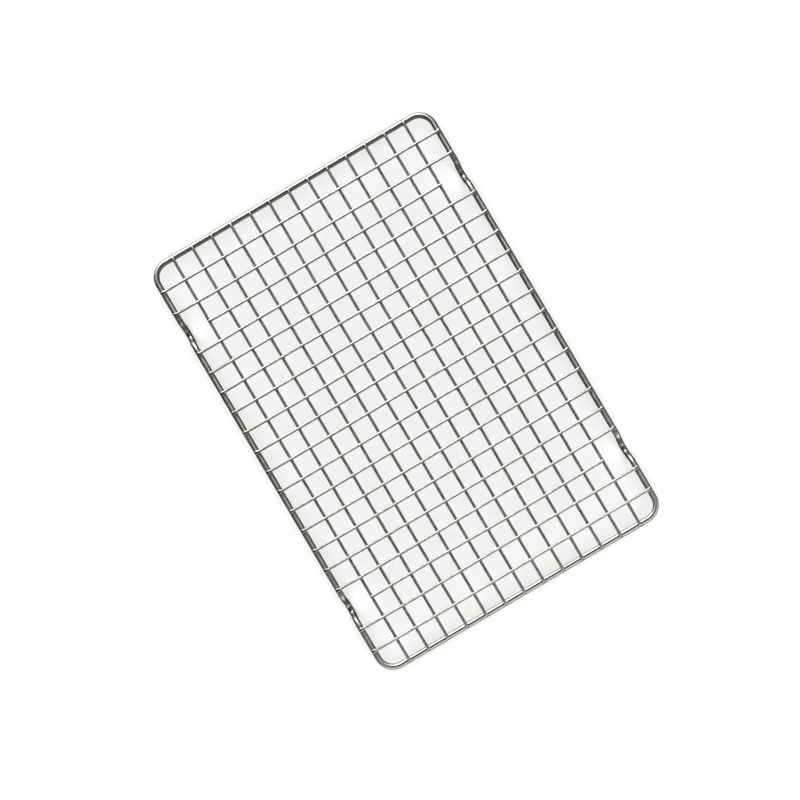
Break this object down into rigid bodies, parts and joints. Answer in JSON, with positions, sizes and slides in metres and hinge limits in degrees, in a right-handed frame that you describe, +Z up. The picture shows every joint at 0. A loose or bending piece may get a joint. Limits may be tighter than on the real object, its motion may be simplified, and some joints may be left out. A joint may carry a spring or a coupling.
{
  "type": "cooling rack",
  "caption": "Flat grid of thin wires on a heavier rounded wire frame whose long sides dip into small feet; holds baked goods up so that air reaches them from below.",
  "frame": {"origin": "on the surface the feet stand on, below the middle of the rack", "axes": "+X along the rack's long side, +Y along its short side, +Z up"},
  "size_m": [0.3, 0.2064, 0.019],
  "materials": {
    "frame_wire": "bright drawn wire with a warm grey plated sheen",
    "grid_wire": "bright drawn wire with a warm grey plated sheen"
  },
  "bodies": {
    "root": {"frame_wire": "frame_wire", "long_wire_01": "grid_wire", "long_wire_02": "grid_wire", "long_wire_03": "grid_wire", "long_wire_04": "grid_wire", "long_wire_05": "grid_wire", "long_wire_06": "grid_wire", "long_wire_07": "grid_wire", "long_wire_08": "grid_wire", "long_wire_09": "grid_wire", "long_wire_10": "grid_wire", "long_wire_11": "grid_wire", "long_wire_12": "grid_wire", "long_wire_13": "grid_wire", "cross_wire_01": "grid_wire", "cross_wire_02": "grid_wire", "cross_wire_03": "grid_wire", "cross_wire_04": "grid_wire", "cross_wire_05": "grid_wire", "cross_wire_06": "grid_wire", "cross_wire_07": "grid_wire", "cross_wire_08": "grid_wire", "cross_wire_09": "grid_wire", "cross_wire_10": "grid_wire", "cross_wire_11": "grid_wire", "cross_wire_12": "grid_wire", "cross_wire_13": "grid_wire", "cross_wire_14": "grid_wire", "cross_wire_15": "grid_wire", "cross_wire_16": "grid_wire", "cross_wire_17": "grid_wire", "cross_wire_18": "grid_wire", "cross_wire_19": "grid_wire"}
  },
  "joints": []
}
